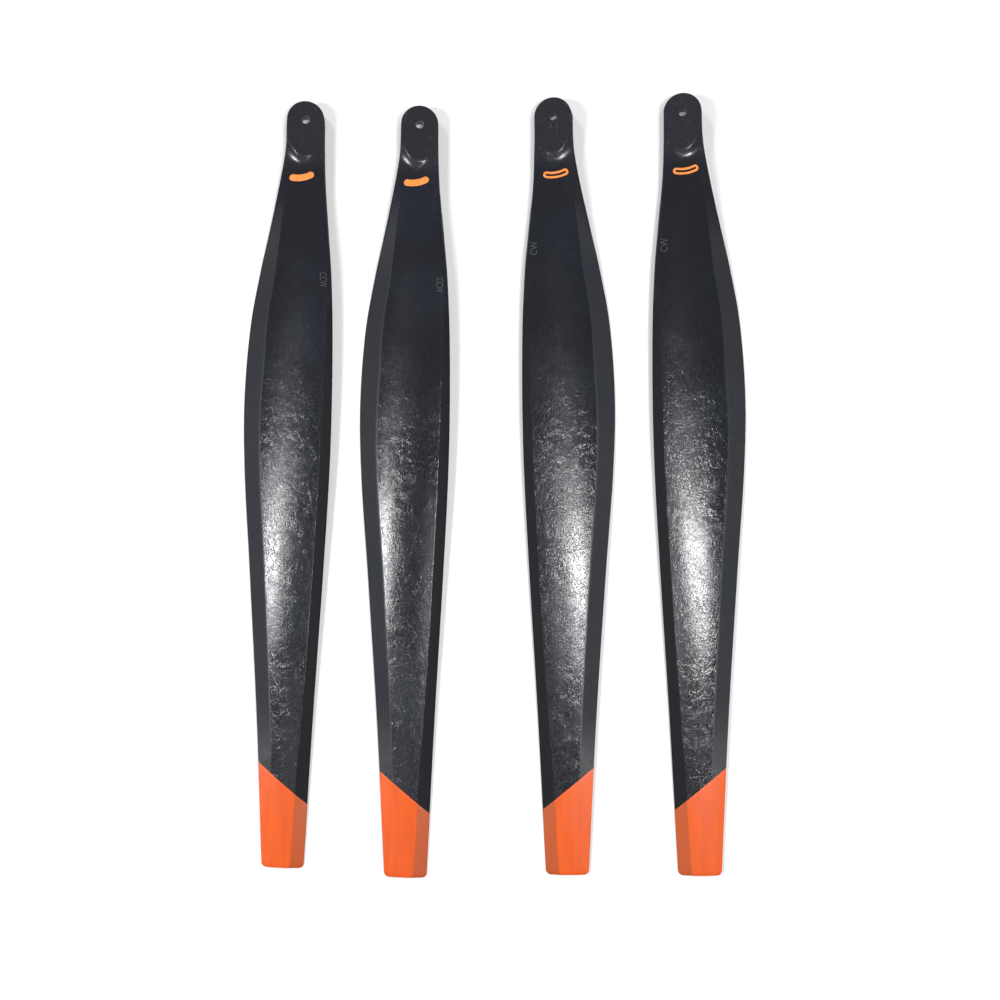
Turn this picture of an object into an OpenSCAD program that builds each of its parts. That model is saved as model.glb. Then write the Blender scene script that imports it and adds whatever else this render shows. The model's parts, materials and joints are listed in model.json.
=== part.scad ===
// Set of four blades for a folding two-blade propeller, laid out side by side.
// Two blades belong to a hub that turns counter-clockwise and two to one that
// turns clockwise. Each lies upper face up on a flat surface, root towards +Y.

/* [Blade] */
// Distance from the pivot bore to the end of the tip
tip_reach = 597; // [495:1:720]
// Widest chord, measured along the section
max_chord = 73.4; // [61:0.2:88.4]
// Distance the blade would advance in one turn
pitch = 457; // [380:1:550]
// Radius at which the hub carries the pivot bore
pivot_radius = 38; // [31:1:46]
// Thickness of the section at its widest chord
mid_t = 6; // [5:0.1:7.2]
// Thickness of the section at the tip
tip_t = 2.6; // [2:0.1:3.4]
// Thickness of the trailing edge
edge_t = 0.9; // [0.7:0.05:1.2]
// Height of the section's camber as a share of its chord
camber = 0.035; // [0.02:0.005:0.05]
// Radius of the two corners at the end of the tip
tip_corner_r = 4; // [3:0.1:5]

/* [Root] */
// Width of the root and diameter of its round end
root_w = 29.5; // [24.5:0.5:35.5]
// Thickness between the two clamped faces
root_t = 12; // [10:0.1:14.4]
// Height of the pitch axis above the lower clamped face
axis_h = 6.5; // [5.4:0.1:7.8]
// Thickness of the shank that the clamp pad stands on
shank_t = 9.5; // [8:0.1:10]
// Diameter of the pivot bore
bore_d = 7; // [5.8:0.1:8.4]
// Chamfer at both ends of the bore
bore_chamfer = 0.6; // [0.4:0.1:1]
// Length of the flat clamp pad past the bore
pad_l = 30; // [25:0.5:36]
// Width of the slope around the pad's rounded end
pad_slope_w = 6; // [5:0.1:7]
// Height of that slope
pad_slope_h = 5; // [4:0.1:6]

/* [Direction mark] */
// Gap between the end of the pad's slope and the middle of the mark
mark_gap = 10.5; // [7:0.5:14]
// Distance of the mark's middle from the pitch axis, towards the trailing edge
mark_off = 1.7; // [0:0.1:3]
// Length of the mark
mark_l = 20; // [16:0.5:24]
// Width of the mark
mark_w = 5.3; // [4.5:0.1:6.4]
// Radius that the mark is bent to
mark_bend_r = 24; // [20:0.5:30]
// Turn of the mark towards the root at its right-hand end
mark_turn = 8; // [5:1:10]
// Depth of the mark below the surface
mark_depth = 0.8; // [0.6:0.1:1]
// Height of the mark above the surface
mark_proud = 0.2; // [0.1:0.05:0.4]
// Width of the line that an open mark is drawn with
mark_line_w = 1.8; // [1.5:0.1:2.1]

/* [Coloured tip] */
// Length of the coloured tip, on the pitch axis
colour_l = 65; // [54:1:78]
// Angle of that edge across the blade
colour_angle = 39; // [32:1:45]

/* [Layout] */
// Pivot bores, from left to right: X, Y and the turn of each blade about Z
seat_ccw_1 = [-149.2, 294, -1.5];
// Second counter-clockwise blade
seat_ccw_2 = [-57.2, 288.2, -0.9];
// First clockwise blade
seat_cw_1 = [49.8, 292.5, 0.8];
// Second clockwise blade
seat_cw_2 = [151.6, 293.6, 0.9];

/* [Hidden] */

root_r = root_w / 2;
pad_top = root_t - axis_h;
mark_s = pad_l + pad_slope_w + mark_gap;
colour_s = tip_reach - colour_l;
black = [0.10, 0.10, 0.11];
orange = [0.96, 0.42, 0.18];
light_orange = [1.0, 0.58, 0.27];

// Growth of the outline beyond the root's half width, along the blade:
// share of the reach, leading side, trailing side (for a 73.4 mm chord)
outline = [
    [0, 0, 0], [0.04, 0.5, 0.7], [0.085, 2, 4.9], [0.15, 6.5, 13], [0.2, 10, 19.6],
    [0.275, 12.7, 27], [0.375, 13.9, 30], [0.47, 13.4, 27.5], [0.6, 10.6, 20.3],
    [0.8, 5.5, 10.2], [1, 1.4, 2.2],
];
outline_growth = 43.9;
grow = (max_chord - root_w) / outline_growth;

// Share of the full pitch angle that the section has reached, near the root
twist_share = [
    [0, 0.04], [0.04, 0.09], [0.085, 0.21], [0.15, 0.46], [0.2, 0.63],
    [0.275, 0.81], [0.375, 0.95], [0.47, 1], [1, 1],
];
// Thickness along the blade
thick = [
    [0, shank_t], [0.08, shank_t], [0.15, shank_t * 0.88], [0.25, mid_t * 1.22],
    [0.375, mid_t], [0.6, mid_t * 0.7 + tip_t * 0.15], [1, tip_t],
];
pad_foot = 2;
blunt_until = 0.04;
thin_from = 0.19;
nose_t = 0.5;
tip_rings = [0, 0.12, 0.45, 1];
ring_points = 12;
steps_root = 20;
steps_mid = 14;
steps_tip = 5;

// Smooth curve through a list of [place, value, ...] rows, read at one place
function row(t, u, i = 0) =
    i >= len(t) - 2 || u < t[i + 1][0] ? i : row(t, u, i + 1);
function lean(t, i, k) =
    let (a = max(i - 1, 0), b = min(i + 1, len(t) - 1))
    (t[b][k] - t[a][k]) / (t[b][0] - t[a][0]);
function curve(t, u, k = 1) =
    let (
        i = row(t, u), h = t[i + 1][0] - t[i][0], v = (u - t[i][0]) / h,
        v2 = v * v, v3 = v2 * v
    )
    (2 * v3 - 3 * v2 + 1) * t[i][k] + (3 * v2 - 2 * v3) * t[i + 1][k]
    + ((v3 - 2 * v2 + v) * lean(t, i, k) + (v3 - v2) * lean(t, i + 1, k)) * h;
function ease(a, b, u) =
    let (v = min(max((u - a) / (b - a), 0), 1)) v * v * (3 - 2 * v);

// Distance lost at each side where the tip's corners are rounded
function corner(s) =
    let (d = min(max(tip_reach - s, 0), tip_corner_r), r = tip_corner_r)
    r - sqrt(r * r - (r - d) * (r - d));
function lead(s) = root_r + grow * curve(outline, s / tip_reach, 1) - corner(s);
function trail(s) = root_r + grow * curve(outline, s / tip_reach, 2) - corner(s);
function twist(s) =
    atan(pitch / (2 * PI * (s + pivot_radius))) * curve(twist_share, s / tip_reach);

// Half thickness across the section, f from 0 at the leading edge to 1:
// a blunt, nearly square shape at the root that turns into an aerofoil
function foil(f) =
    2 * (1.4845 * sqrt(f) - 0.63 * f - 1.758 * f * f + 1.4215 * pow(f, 3) - 0.518 * pow(f, 4));
function block(f) = 0.6 + 0.4 * pow(1 - pow(abs(2 * f - 1), 5), 0.2);
function half_t(s, f) =
    let (
        u = s / tip_reach, w = ease(blunt_until, thin_from, u),
        t = curve(thick, u), e = nose_t + (edge_t - nose_t) * f
    )
    (1 - w) * block(f) * t / 2 + w * (foil(f) * (t - e) + e) / 2;
function mean_h(s, f) =
    let (w = ease(blunt_until, thin_from, s / tip_reach))
    (1 - w) * (shank_t / 2 - axis_h) + w * camber * 4 * f * (1 - f) * (lead(s) + trail(s));

// Point of the section at station s; side is 1 on the upper face, -1 on the lower
function section_point(s, f, side) =
    let (
        c = lead(s) + trail(s), u = lead(s) - f * c,
        h = mean_h(s, f) + side * half_t(s, f), a = twist(s)
    )
    [u * cos(a) - h * sin(a), -s, u * sin(a) + h * cos(a)];
function share(i) = (1 - cos(180 * i / ring_points)) / 2;

// Stations lean towards the colour's edge, so that one ring lies along it
function slant(s) = tan(colour_angle) * ease(0.5 * tip_reach, colour_s, s)
    * (1 - ease(colour_s, tip_reach - tip_corner_r, s));
function slanted(s, f, side, n = 4) =
    n == 0 ? s : s + slant(s) * section_point(slanted(s, f, side, n - 1), f, side)[0];
function point(s, f, side) = section_point(min(slanted(s, f, side), tip_reach), f, side);
function ring(s) = concat(
    [for (i = [0:ring_points]) point(s, share(i), 1)],
    [for (i = [ring_points:-1:0]) point(s, share(i), -1)]
);

root_end = 0.3 * tip_reach;
stations_black = concat(
    [for (i = [0:steps_root]) root_end * i / steps_root],
    [for (i = [1:steps_mid]) root_end + (colour_s - root_end) * i / steps_mid]
);
corner_start = tip_reach - tip_corner_r;
stations_tip = concat(
    [for (i = [0:steps_tip - 1]) colour_s + (corner_start - colour_s) * i / steps_tip],
    [for (i = [len(tip_rings) - 1:-1:0]) tip_reach - tip_corner_r * tip_rings[i]]
);

// Solid skin over a list of rings
module skin(stations) {
    n = 2 * ring_points + 2;
    m = len(stations);
    points = [for (s = stations) each ring(s)];
    // A cap joins the upper and lower face point by point, so it is never folded
    function cap(o) = [
        for (i = [0:ring_points - 1]) each [
            [o + i, o + i + 1, o + n - 1 - i],
            [o + i + 1, o + n - 2 - i, o + n - 1 - i],
        ],
    ];
    function turned(t) = [for (q = t) [q[0], q[2], q[1]]];
    sides = [
        for (j = [0:m - 2], i = [0:n - 1])
            let (a = j * n + i, b = j * n + (i + 1) % n)
            each [[a, a + n, b], [b, a + n, b + n]]
    ];
    polyhedron(points, concat(cap(0), sides, turned(cap((m - 1) * n))));
}

// Lowest point of a list along the direction n
function lowest(list, n, i = 0, best = undef) =
    i >= len(list) ? best
    : lowest(list, n, i + 1, is_undef(best) || list[i] * n < best * n ? list[i] : best);
function rest_normal(rim, edge, tip) =
    let (n = cross(edge - rim, tip - rim)) n / norm(n);

// Flat surface under the blade: it touches the rim of the root's lower face,
// the trailing edge and the end of the tip
trailing = [for (s = stations_black) point(s, 1, -1)];
tip_end = [for (s = stations_tip, i = [0:ring_points]) point(s, share(i), -1)];
up = [0, 0, 1];
rim_0 = [root_r, 0, -axis_h];
normal_0 = rest_normal(rim_0, lowest(trailing, up), lowest(tip_end, [-0.2, 0, 1]));
function rim(n) =
    let (d = [n[0], n[1], 0]) [0, 0, -axis_h] - root_r * d / norm(d);
normal_1 = rest_normal(rim(normal_0), lowest(trailing, normal_0), lowest(tip_end, normal_0));
normal_2 = rest_normal(rim(normal_1), lowest(trailing, normal_1), lowest(tip_end, normal_1));
rest_pitch = atan2(normal_2[1], normal_2[2]);
rest_roll = -atan2(normal_2[0], norm([normal_2[1], normal_2[2]]));
rest_lift = -min(
    lowest(trailing, normal_2) * normal_2,
    lowest(tip_end, normal_2) * normal_2,
    rim(normal_2) * normal_2
);

// Half ellipse past the bore and half circle before it: the clamp pad's outline
function pad_outline(extra) = [
    for (a = [0:7.5:352.5])
        [(root_r + extra) * cos(a), (a > 180 ? pad_l + extra : root_r + extra) * sin(a)]
];
module pad() {
    translate([0, 0, -axis_h]) cylinder(r = root_r, h = root_t, $fn = 96);
    intersection() {
        hull() {
            translate([0, 0, -pad_foot])
                linear_extrude(pad_foot + pad_top - pad_slope_h) polygon(pad_outline(pad_slope_w));
            translate([0, 0, pad_top - 0.01]) linear_extrude(0.01) polygon(pad_outline(0));
        }
        root_band = [for (i = [0:6]) (pad_l + pad_slope_w + 1) * i / 6];
        translate([0, 0, -axis_h]) linear_extrude(root_t) polygon(concat(
            [for (s = root_band) [lead(s) * cos(twist(s)), -s]],
            [for (i = [6:-1:0]) [-trail(root_band[i]) * cos(twist(root_band[i])), -root_band[i]]]
        ));
    }
}

module bore() {
    translate([0, 0, -axis_h - 1]) cylinder(d = bore_d, h = root_t + 2, $fn = 64);
    flare_d = bore_d + 2 * bore_chamfer;
    translate([0, 0, pad_top - bore_chamfer])
        cylinder(d1 = bore_d, d2 = flare_d, h = bore_chamfer, $fn = 64);
    translate([0, 0, -axis_h]) cylinder(d1 = flare_d, d2 = bore_d, h = bore_chamfer, $fn = 64);
}

// Bent bar with round ends
function bar_outline(w) =
    let (half = asin((mark_l - mark_w) / 2 / mark_bend_r), r = w / 2)
    concat(
        [for (a = [-half:half / 6:half]) [(mark_bend_r + r) * sin(a), -(mark_bend_r + r) * cos(a)]],
        [for (a = [15:15:165]) bar_end(half, r, a - 90)],
        [for (a = [half:-half / 6:-half]) [(mark_bend_r - r) * sin(a), -(mark_bend_r - r) * cos(a)]],
        [for (a = [15:15:165]) bar_end(-half, r, a + 90)]
    );
function bar_end(at, r, a) = [
    mark_bend_r * sin(at) + r * cos(a + at), -mark_bend_r * cos(at) + r * sin(a + at),
];
// Prism of the mark, standing square on the blade's surface at the mark
module mark_prism(open, mirrored) {
    at = point(mark_s, 0.5, 1);
    before = point(mark_s - 5, 0.5, 1);
    slope = atan2(before[2] - at[2], 5);
    translate([-mark_off, at[1], at[2]]) rotate([slope, -twist(mark_s), 0])
        rotate([0, 0, mirrored ? -mark_turn : mark_turn])
        translate([0, mark_bend_r, -mark_depth]) linear_extrude(4) difference() {
            polygon(bar_outline(mark_w));
            if (open) polygon(bar_outline(mark_w - 2 * mark_line_w));
        }
}

module blade_body(open) {
    difference() {
        union() {
            skin(stations_black);
            pad();
        }
        bore();
        mark_prism(open, open);
    }
}
module blade_mark(open) {
    intersection() {
        translate([0, 0, mark_proud]) skin([for (s = [-12:6:12]) mark_s + s]);
        mark_prism(open, open);
    }
}

// Lays a blade's own frame down at its place
module laid(seat, mirrored = false) {
    translate([seat[0], seat[1], 0]) rotate([0, 0, seat[2]])
        mirror([mirrored ? 1 : 0, 0, 0])
        translate([0, 0, rest_lift]) rotate([rest_pitch, rest_roll, 0]) children();
}

module ccw_blade_1() { color(black) laid(seat_ccw_1) blade_body(false); }
module ccw_tip_1() { color(orange) laid(seat_ccw_1) skin(stations_tip); }
module ccw_mark_1() { color(light_orange) laid(seat_ccw_1) blade_mark(false); }
module ccw_blade_2() { color(black) laid(seat_ccw_2) blade_body(false); }
module ccw_tip_2() { color(orange) laid(seat_ccw_2) skin(stations_tip); }
module ccw_mark_2() { color(light_orange) laid(seat_ccw_2) blade_mark(false); }
module cw_blade_1() { color(black) laid(seat_cw_1, true) blade_body(true); }
module cw_tip_1() { color(orange) laid(seat_cw_1, true) skin(stations_tip); }
module cw_mark_1() { color(light_orange) laid(seat_cw_1, true) blade_mark(true); }
module cw_blade_2() { color(black) laid(seat_cw_2, true) blade_body(true); }
module cw_tip_2() { color(orange) laid(seat_cw_2, true) skin(stations_tip); }
module cw_mark_2() { color(light_orange) laid(seat_cw_2, true) blade_mark(true); }

ccw_blade_1();
ccw_tip_1();
ccw_mark_1();
ccw_blade_2();
ccw_tip_2();
ccw_mark_2();
cw_blade_1();
cw_tip_1();
cw_mark_1();
cw_blade_2();
cw_tip_2();
cw_mark_2();
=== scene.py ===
import json
import math

import bpy
import numpy as np
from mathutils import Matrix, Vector


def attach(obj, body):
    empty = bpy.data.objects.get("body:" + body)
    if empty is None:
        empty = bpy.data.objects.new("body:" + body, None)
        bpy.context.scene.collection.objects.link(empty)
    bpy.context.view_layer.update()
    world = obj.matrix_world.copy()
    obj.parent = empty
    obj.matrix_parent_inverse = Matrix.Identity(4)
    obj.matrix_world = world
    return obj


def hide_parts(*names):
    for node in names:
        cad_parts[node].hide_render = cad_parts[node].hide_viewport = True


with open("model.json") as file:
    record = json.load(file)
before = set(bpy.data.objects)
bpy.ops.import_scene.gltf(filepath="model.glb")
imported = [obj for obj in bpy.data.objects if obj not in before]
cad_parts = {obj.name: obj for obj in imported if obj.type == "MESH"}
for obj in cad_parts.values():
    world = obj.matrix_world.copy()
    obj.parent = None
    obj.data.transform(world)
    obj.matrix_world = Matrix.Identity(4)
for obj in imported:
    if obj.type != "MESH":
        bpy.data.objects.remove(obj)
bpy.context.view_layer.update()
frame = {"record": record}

# Lengths of the blade are in millimetres along this file. They turn to metres when a mesh is made.
mm = 0.001

bladeForm = {
    "tipReach": 597.0,  # pivot bore to the end of the tip
    "maxChord": 73.4,
    "pitch": 457.0,
    "pivotRadius": 38.0,
    "midT": 6.0,
    "tipT": 2.6,
    "edgeT": 0.9,
    "noseT": 0.5,
    "camber": 0.035,
    "tipCorner": 4.0,
    "rootR": 14.75,
    "rootT": 12.0,
    "axisH": 6.5,
    "shankT": 9.5,
    "bluntUntil": 0.04,  # shares of the reach between which the section turns from block to aerofoil
    "thinFrom": 0.19,
    "colourLength": 65.0,
    "colourAngle": 39.0,
    "outlineGrowth": 43.9,
}
bladeForm["colourS"] = bladeForm["tipReach"] - bladeForm["colourLength"]
bladeForm["padTop"] = bladeForm["rootT"] - bladeForm["axisH"]

# share of the reach, growth of the leading side, growth of the trailing side
outlineRows = np.array([
    [0, 0, 0], [0.04, 0.5, 0.7], [0.085, 2, 4.9], [0.15, 6.5, 13], [0.2, 10, 19.6],
    [0.275, 12.7, 27], [0.375, 13.9, 30], [0.47, 13.4, 27.5], [0.6, 10.6, 20.3],
    [0.8, 5.5, 10.2], [1, 1.4, 2.2],
])
# share of the reach, share of the full pitch angle
twistRows = np.array([
    [0, 0.04], [0.04, 0.09], [0.085, 0.21], [0.15, 0.46], [0.2, 0.63],
    [0.275, 0.81], [0.375, 0.95], [0.47, 1], [1, 1],
])
thickRows = np.array([
    [0, bladeForm["shankT"]], [0.08, bladeForm["shankT"]], [0.15, bladeForm["shankT"] * 0.88],
    [0.25, bladeForm["midT"] * 1.22], [0.375, bladeForm["midT"]],
    [0.6, bladeForm["midT"] * 0.7 + bladeForm["tipT"] * 0.15], [1, bladeForm["tipT"]],
])


def curveAt(rows, u, column=1):
    # smooth curve through the rows, the same one that the CAD solids follow
    x, y = rows[:, 0], rows[:, column]
    lean = np.empty(len(x))
    lean[1:-1] = (y[2:] - y[:-2]) / (x[2:] - x[:-2])
    lean[0] = (y[1] - y[0]) / (x[1] - x[0])
    lean[-1] = (y[-1] - y[-2]) / (x[-1] - x[-2])
    u = np.asarray(u, float)
    i = np.clip(np.searchsorted(x, u, side="right") - 1, 0, len(x) - 2)
    h = x[i + 1] - x[i]
    v = (u - x[i]) / h
    v2, v3 = v * v, v * v * v
    return (
        (2 * v3 - 3 * v2 + 1) * y[i] + (3 * v2 - 2 * v3) * y[i + 1]
        + ((v3 - 2 * v2 + v) * lean[i] + (v3 - v2) * lean[i + 1]) * h
    )


def ease(a, b, u):
    v = np.clip((np.asarray(u, float) - a) / (b - a), 0, 1)
    return v * v * (3 - 2 * v)


def cornerLoss(s):
    r = bladeForm["tipCorner"]
    d = np.clip(bladeForm["tipReach"] - s, 0, r)
    return r - np.sqrt(r * r - (r - d) ** 2)


def sideOffset(s, column):
    grow = (bladeForm["maxChord"] - 2 * bladeForm["rootR"]) / bladeForm["outlineGrowth"]
    s = np.asarray(s, float)
    return bladeForm["rootR"] + grow * curveAt(outlineRows, s / bladeForm["tipReach"], column) - cornerLoss(s)


def twistAt(s):
    full = np.arctan2(bladeForm["pitch"], 2 * math.pi * (np.asarray(s, float) + bladeForm["pivotRadius"]))
    return full * curveAt(twistRows, np.asarray(s, float) / bladeForm["tipReach"])


def halfThickness(s, f):
    u = np.asarray(s, float) / bladeForm["tipReach"]
    w = ease(bladeForm["bluntUntil"], bladeForm["thinFrom"], u)
    t = curveAt(thickRows, u)
    foil = 2 * (1.4845 * np.sqrt(f) - 0.63 * f - 1.758 * f**2 + 1.4215 * f**3 - 0.518 * f**4)
    block = 0.6 + 0.4 * np.clip(1 - np.abs(2 * f - 1) ** 5, 0, 1) ** 0.2
    e = bladeForm["noseT"] + (bladeForm["edgeT"] - bladeForm["noseT"]) * f
    return (1 - w) * block * t / 2 + w * (foil * (t - e) + e) / 2


def meanHeight(s, f, chord):
    w = ease(bladeForm["bluntUntil"], bladeForm["thinFrom"], np.asarray(s, float) / bladeForm["tipReach"])
    return (1 - w) * (bladeForm["shankT"] / 2 - bladeForm["axisH"]) + w * bladeForm["camber"] * 4 * f * (1 - f) * chord


creases = {
    "noseWidth": [(0, 3.0), (130, 3.0), (185, 5.5), (260, 7.4), (420, 7.8), (597, 10.5)],
    "noseFadeIn": (112, 185),
    "noseLift": 0.22,  # how far the ridge stands above the plain aerofoil
    "noseLiftRun": 0.16,  # share of the chord over which that height dies away
    "edgeWidth": [(0, 5.0), (60, 7.0), (120, 13.5), (200, 15.5), (260, 13.5), (597, 10.0)],
    "edgeFadeIn": (50, 130),
    "edgeFadeOut": (455, 545),
    "edgeDrop": (0.6, 0.35),  # how far the crease lies below the plain aerofoil, near the root and near the tip
    "edgeTurn": (235, 345),
    "edgeRun": 0.27,
}


def creaseShares(s, chord):
    nose = np.interp(s, *zip(*creases["noseWidth"])) / chord
    edge = 1 - np.interp(s, *zip(*creases["edgeWidth"])) / chord
    return nose, edge


def upperHeight(s, f):
    # aerofoil with a flat facet behind the leading edge and a flat strip before the trailing edge
    chord = sideOffset(s, 1) + sideOffset(s, 2)
    nose, edge = creaseShares(s, chord)

    def plain(g):
        return meanHeight(s, g, chord) + halfThickness(s, g)

    base = plain(f)
    noseOn = ease(*creases["noseFadeIn"], s)
    edgeOn = ease(*creases["edgeFadeIn"], s) * (1 - ease(*creases["edgeFadeOut"], s))
    thin = np.clip(chord / 60, 0.4, 1)
    lift = creases["noseLift"] * thin
    dropNear, dropFar = creases["edgeDrop"]
    drop = (dropNear + (dropFar - dropNear) * ease(*creases["edgeTurn"], s)) * thin
    ridge = plain(nose) + lift
    start = plain(np.zeros_like(f))
    facet = start + (ridge - start) * (f / nose) ** 0.8
    beyond = base + lift * np.exp(-np.clip(f - nose, 0, 1) / creases["noseLiftRun"] * 3)
    shaped = np.where(f < nose, facet, beyond)
    h = base + (shaped - base) * noseOn
    roll = np.clip((f - (edge - creases["edgeRun"])) / creases["edgeRun"], 0, 1)
    end = plain(np.ones_like(f))
    creaseH = plain(edge) - drop
    strip = creaseH + (end - creaseH) * (f - edge) / (1 - edge)
    lowered = np.where(f > edge, strip, base - drop * roll**2.2)
    return h + (lowered - base) * edgeOn * np.where(f > nose, 1, 0)


def lowerHeight(s, f):
    chord = sideOffset(s, 1) + sideOffset(s, 2)
    return meanHeight(s, f, chord) - halfThickness(s, f)


def sectionPoint(s, f, height):
    a = twistAt(s)
    u = sideOffset(s, 1) - f * (sideOffset(s, 1) + sideOffset(s, 2))
    h = height(s, f)
    return np.stack([u * np.cos(a) - h * np.sin(a), -s, u * np.sin(a) + h * np.cos(a)], -1)


def slantedStation(s, f, height):
    # stations lean towards the slanted edge of the coloured tip
    reach, colourS = bladeForm["tipReach"], bladeForm["colourS"]
    k = math.tan(math.radians(bladeForm["colourAngle"])) * ease(0.5 * reach, colourS, s) * (
        1 - ease(colourS, reach - bladeForm["tipCorner"], s)
    )
    t = s + 0 * f
    for _ in range(5):
        t = np.minimum(s + k * sectionPoint(t, f, height)[..., 0], reach)
    return t


def surfacePoint(s, f, height):
    s, f = np.broadcast_arrays(np.asarray(s, float), np.asarray(f, float))
    return sectionPoint(slantedStation(s, f, height), f, height)


def shareAt(x, s, height):
    # share of the chord under a point of the plan view
    a = twistAt(s)
    lead, trail = sideOffset(s, 1), sideOffset(s, 2)
    f = np.clip((lead - x) / (lead + trail), 0, 1)
    for _ in range(6):
        h = height(s, f)
        u = (x + h * np.sin(a)) / np.cos(a)
        f = np.clip((lead - u) / (lead + trail), 0, 1)
    return f


def planHeight(x, s, height):
    return sectionPoint(s, shareAt(x, s, height), height)[..., 2]


# ---- meshes ----
meshGrid = {
    "noseSteps": 9,
    "crownSteps": 42,
    "edgeSteps": 10,
    "lowerSteps": 40,
    "wallSteps": 5,
    "rootLine": 70.0,  # station where the root's round grid meets the lofted blade
    "loftStep": 1.7,
    "sideSteps": 44,
    "arcSteps": 56,
}


def chordShares(s, upper=True):
    n = meshGrid
    if not upper:
        v = (1 - np.cos(np.pi * np.arange(n["lowerSteps"] + 1) / n["lowerSteps"])) / 2
        return np.clip(0.75 * v + 0.25 * np.linspace(0, 1, len(v)), 0, 1)
    nose, edge = creaseShares(s, float(sideOffset(s, 1) + sideOffset(s, 2)))
    first = nose * (np.arange(n["noseSteps"]) / n["noseSteps"]) ** 1.4
    crown = nose + (edge - nose) * np.arange(n["crownSteps"]) / n["crownSteps"]
    last = edge + (1 - edge) * np.arange(n["edgeSteps"] + 1) / n["edgeSteps"]
    return np.concatenate([first, crown, last])


def wallPoints(top, bottom, bulge):
    # points between an upper and a lower edge, pushed out a little so that the edge is round
    v = np.arange(1, meshGrid["wallSteps"]) / meshGrid["wallSteps"]
    out = np.sin(np.pi * v)[:, None] * bulge
    return top + (bottom - top) * v[:, None] + out


def loftRing(s, swell=0.0, pinch=1.0):
    # one closed ring: upper face from nose to trailing edge, wall, lower face back, wall
    fu, fl = chordShares(s), chordShares(s, False)
    up = surfacePoint(s, fu, upperHeight)
    low = surfacePoint(s, fl, lowerHeight)
    if pinch < 1:
        mid = (surfacePoint(s, fu, lowerHeight) + up) / 2
        up = mid + (up - mid) * pinch
        midLow = (surfacePoint(s, fl, upperHeight) + low) / 2
        low = midLow + (low - midLow) * pinch
    if swell:
        up[:, 2] += swell
        low[:, 2] -= swell
        for e in (up, low):
            e[:, 0] += np.interp(np.linspace(0, 1, len(e)), [0, 0.03, 0.97, 1], [swell, 0, 0, -swell])
    gapTrail = np.linalg.norm(up[-1] - low[-1])
    gapLead = np.linalg.norm(up[0] - low[0])
    side = np.array([1.0, 0, 0])
    trailWall = wallPoints(up[-1], low[-1], -side * min(0.18 * gapTrail, 0.25))
    leadWall = wallPoints(low[0], up[0], side * min(0.25 * gapLead, 0.3))
    return np.concatenate([up, trailWall, low[::-1], leadWall])


padForm = {
    "length": 30.0,
    "slopeWidth": 8.0,
    "slopeEnd": 0.3,  # share of the slope that is straight, before its fillet
    "rimRound": 0.7,
    "rise": 2.1,
    "riseAcross": (1.0, 12.0),
    "riseAlong": (26.0, 64.0),
    "boreR": 3.5,
    "chamfer": 0.6,
}


def padRadius(angle, extra=0.0):
    # clamp pad's edge seen from the bore: a half circle, and a half ellipse towards the tip
    a = bladeForm["rootR"] + extra
    b = np.where(np.sin(angle) < 0, padForm["length"] + extra, a)
    return a * b / np.sqrt((b * np.cos(angle)) ** 2 + (a * np.sin(angle)) ** 2)


def slopeShare(x, y):
    r, angle = np.hypot(x, y), np.arctan2(y, x)
    inner, outer = padRadius(angle), padRadius(angle, padForm["slopeWidth"])
    d = np.clip((r - inner) / (outer - inner), 0, 1)
    a = padForm["slopeEnd"]
    k = 2 / (1 + a)
    return np.where(d < a, k * d, k * a + k * (d - a) - k * (d - a) ** 2 / (2 * (1 - a)))


def rimLoss(x, y):
    # rounding of the root's outer edge
    s = np.maximum(-y, 0)
    a = twistAt(s)
    side = np.minimum(sideOffset(s, 1) * np.cos(a) - x, x + sideOffset(s, 2) * np.cos(a))
    e = np.where(y > 0, bladeForm["rootR"] - np.hypot(x, y), side)
    r = padForm["rimRound"]
    e = np.clip(e, 0, r)
    return r - np.sqrt(np.maximum(r * r - (r - e) ** 2, 0))


def rootUpper(x, y):
    s = np.maximum(-y, 0)
    p = slopeShare(x, y)
    # the shank rises beside the pad on its leading side, so that the step nearly closes there
    rise = padForm["rise"] * ease(*padForm["riseAcross"], x) * (1 - ease(*padForm["riseAlong"], s))
    skin = planHeight(x, s, upperHeight) + rise
    return bladeForm["padTop"] * (1 - p) + np.minimum(skin, bladeForm["padTop"]) * p - rimLoss(x, y) * (1 - p)


def rootLower(x, y):
    s = np.maximum(-y, 0)
    skin = planHeight(x, s, lowerHeight)
    w = ease(bladeForm["rootR"] - 3, bladeForm["rootR"] + 4, np.hypot(x, y))
    w = np.where(y > 0, 0, w)
    return -bladeForm["axisH"] * (1 - w) + np.maximum(skin, -bladeForm["axisH"]) * w + rimLoss(x, y) * (1 - w)


def rootBoundary(upper):
    # plan outline of the root seen from above: blade line, trailing side, round end, leading side
    line = surfacePoint(meshGrid["rootLine"], chordShares(meshGrid["rootLine"], upper),
                        upperHeight if upper else lowerHeight)
    n = meshGrid["sideSteps"]
    s = meshGrid["rootLine"] * (1 - np.arange(1, n) / n)
    height = upperHeight if upper else lowerHeight
    trail = sectionPoint(s, np.ones_like(s), height)
    lead = sectionPoint(s[::-1], np.zeros_like(s), height)
    m = meshGrid["arcSteps"]
    angle = np.pi - np.pi * np.arange(m + 1) / m
    arc = np.stack([np.cos(angle), np.sin(angle), 0 * angle], -1) * bladeForm["rootR"]
    return np.concatenate([line, trail, arc, lead]), len(line)


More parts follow.
